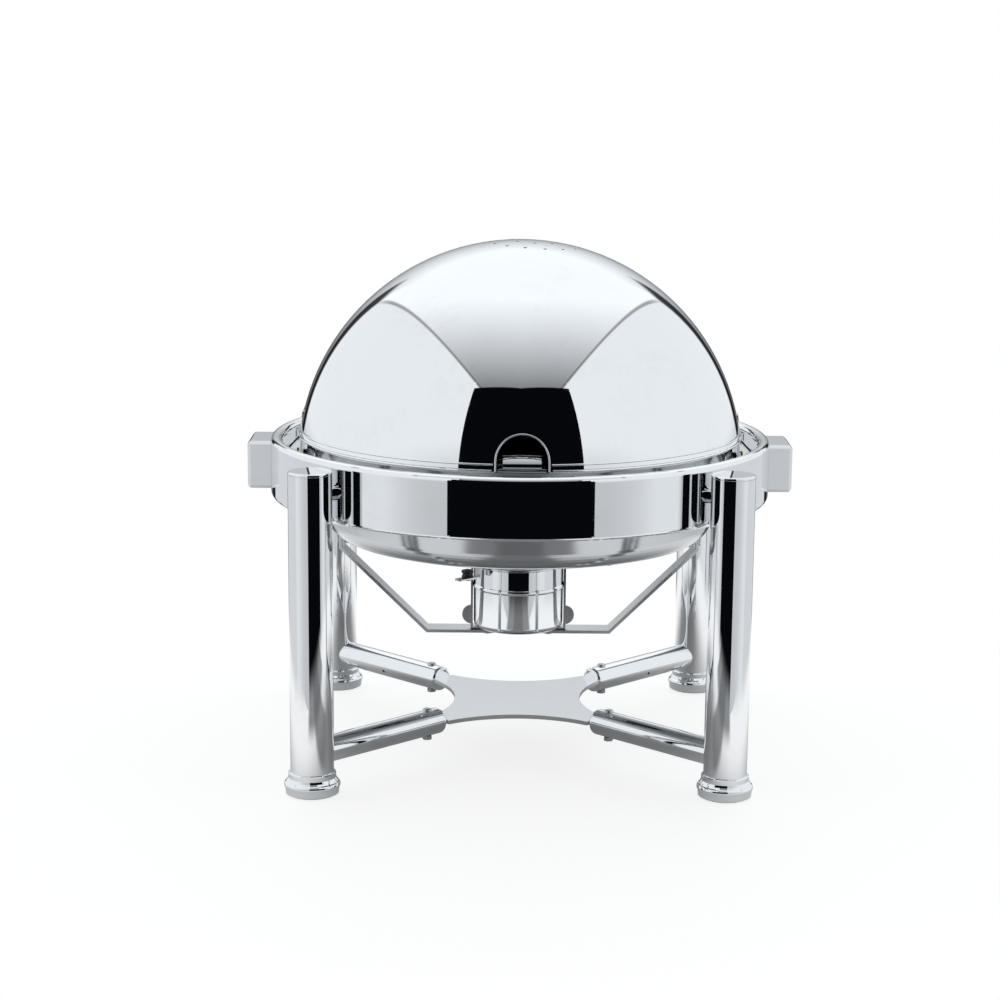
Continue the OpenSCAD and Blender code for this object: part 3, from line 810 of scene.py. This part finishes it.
@dataclass
class Dome(Assembly):
    """The wired edge of the dome's ladle notch and the fold of its hem."""

    wire: float = 0.0008
    wire_out: float = 0.0008
    hem_rise: float = 0.0285
    fold_rise: float = 0.0345
    fold_wire: float = 0.0009
    fold_gap: float = 0.0012
    notch_half: float = 0.0248
    notch_rise: float = 0.0335

    def build(self) -> None:
        """Makes the wire round the ladle notch, and then the fold."""
        joints = frame["record"]["behaviour"]["joints"]
        pivot = next(joint["pos_m"][2] for joint in joints if joint["name"] == "dome_roll")
        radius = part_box("dome")[1][2] - pivot + self.wire_out
        half = self.notch_half - self.wire
        hem = pivot + self.hem_rise
        spring = hem + self.notch_rise - self.notch_half
        legs = [hem + (spring - hem) * i / 4 for i in range(4)]
        outline = [(half, z) for z in legs] + arc((0.0, spring), half, 0, 180, 24)
        outline += [(-half, z) for z in legs[::-1]]
        path = bpy.data.curves.new("notch_wire", "CURVE")
        path.dimensions, path.use_fill_caps = "3D", True
        path.bevel_depth, path.bevel_resolution = self.wire, 4
        spline = path.splines.new("POLY")
        spline.points.add(len(outline) - 1)
        for point, (x, z) in zip(spline.points, outline):
            point.co = (x, -math.sqrt(radius ** 2 - x ** 2 - (z - pivot) ** 2), z, 1.0)
        guide = bpy.data.objects.new("notch_wire_guide", path)
        bm = bmesh.new()
        bm.from_mesh(guide.to_mesh())
        bpy.data.objects.remove(guide)
        bpy.data.curves.remove(path)
        bmesh.ops.remove_doubles(bm, verts=bm.verts, dist=MERGE)
        bmesh.ops.recalc_face_normals(bm, faces=bm.faces)
        self.dress(keep(bm, "notch_wire"), "dome", like="dome")
        self.fold(pivot, radius)

    def fold(self, pivot: float, radius: float) -> None:
        """Spins the fold that ends the hem's band, from one side of the notch round to the other.

        Args:
            pivot: Height of the roll axis.
            radius: Distance of the fold's middle from the dome's centre.
        """
        reach = math.sqrt(radius ** 2 - self.fold_rise ** 2)
        gap = math.asin((self.notch_half + self.fold_gap) / reach)
        bm = bmesh.new()
        bmesh.ops.create_circle(bm, radius=self.fold_wire, segments=12, matrix=(
            Matrix.Rotation(gap - math.pi / 2, 4, "Z")
            @ Matrix.Translation((reach, 0, pivot + self.fold_rise))
            @ Matrix.Rotation(math.pi / 2, 4, "X")))
        bmesh.ops.spin(bm, geom=bm.verts[:] + bm.edges[:], cent=(0, 0, 0), axis=(0, 0, 1),
                       angle=2 * (math.pi - gap), steps=180)
        bmesh.ops.holes_fill(bm, edges=[e for e in bm.edges if e.is_boundary], sides=0)
        bmesh.ops.recalc_face_normals(bm, faces=bm.faces)
        self.dress(keep(bm, "hem_fold"), "dome", like="dome")


@dataclass
class Pans(Assembly):
    """The lift tabs and brackets on the pans."""

    tab_edge: float = 0.0004
    bracket_edge: float = 0.0005

    def build(self) -> None:
        """Makes the tabs and brackets with rounded edges."""
        self.soften("pan_lift_tabs", "food_pan", self.tab_edge, sharp=60.0, like="dome")
        self.soften("strap_brackets", "stand", self.bracket_edge, sharp=60.0)


@dataclass
class Burner(Assembly):
    """The strap, the cup with its damper and the knob."""

    strap_edge: float = 0.0008
    cradle_edge: float = 0.0004
    head_edge: float = 0.0010
    cup_radius: float = 0.044
    cup_corner: float = 0.006
    cup_wall: float = 0.001
    bead_rise: float = 0.0421
    bead_height: float = 0.0056
    bead_out: float = 0.0009
    lug_radius: float = 0.005
    lug_height: float = 0.0118
    knob_radius: float = 0.006
    knob_waist: float = 0.0045
    knob_lip: float = 0.0012
    knob_seat: float = 0.0027
    stem_head: float = 0.0030
    stem_radius: float = 0.0015
    stem_step: float = 0.0012

    def build(self) -> None:
        """Makes every piece of the burner that is finer than its CAD node."""
        self.soften("fuel_strap", "stand", self.strap_edge, sharp=60.0)
        self.soften("cup_cradle", "stand", self.cradle_edge, sharp=60.0)
        self.soften("strap_screws", "stand", self.head_edge, sharp=60.0)
        self.soften("damper_lid", "damper", self.cradle_edge, sharp=60.0)
        self.cup()
        self.knob()

    def cup(self) -> None:
        """Spins the fuel cup with its swaged bead and thin lip, and adds the lug for the damper's rivet."""
        low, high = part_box("fuel_cup")
        foot, top, corner, wall = low[2], high[2], self.cup_corner, self.cup_wall
        r = self.cup_radius
        bead = foot + self.bead_rise
        profile = [(0.0, foot)] + arc((r - corner, foot + corner), corner, -90, 0, 8)
        profile += [(r + self.bead_out * math.sin(math.pi * i / 10), bead + self.bead_height * (i / 10 - 0.5))
                    for i in range(11)]
        profile += [(r, top - wall)] + arc((r - wall / 2, top - wall / 2), wall / 2, 0, 180, 6)
        profile += arc((r - corner, foot + corner), corner - wall, 0, -90, 8) + [(0.0, foot + wall)]
        bm = spun(profile)
        rivet_low, rivet_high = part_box("damper_rivet")
        lug = Vector(((rivet_low[0] + rivet_high[0]) / 2, (rivet_low[1] + rivet_high[1]) / 2,
                      top - self.lug_height / 2))
        bmesh.ops.create_cone(bm, cap_ends=True, segments=32, radius1=self.lug_radius,
                              radius2=self.lug_radius, depth=self.lug_height, matrix=Matrix.Translation(lug))
        self.dress(keep(bm, "spun_cup"), "stand", "fuel_cup")

    def knob(self) -> None:
        """Spins the turned knob with its waist and round crown."""
        low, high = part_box("damper_knob")
        middle = ((low[0] + high[0]) / 2, (low[1] + high[1]) / 2)
        r, neck, foot, top = self.knob_radius, self.knob_waist, low[2], high[2]
        seat, step = foot + self.knob_seat, foot + self.stem_step
        profile = [(0.0, foot), (self.stem_head, foot), (self.stem_head, step), (self.stem_radius, step),
                   (self.stem_radius, seat)]
        profile += [(neck, seat)] + arc((neck, seat + self.knob_lip), self.knob_lip, -60, 60, 4)
        profile += arc((r + 0.0006, seat + 0.0036), 0.0018, 235, 150, 6)
        profile += arc((r - 0.0014, top - 0.0022), 0.0014, -40, 60, 6)
        profile += [(r * 0.45, top - 0.0002), (0.0, top)]
        self.dress(keep(spun(profile, middle, 48), "turned_knob"), "damper", "damper_knob")


def main() -> None:
    """Builds the studio, the finishes and every piece."""
    logging.basicConfig(level=logging.INFO, format="%(message)s")
    Studio().build()
    shop = Shop()
    shop.dress_frame()
    for assembly in (Stand(shop), Dome(shop), Pans(shop), Burner(shop)):
        assembly.build()


if __name__ == "__main__":
    main()
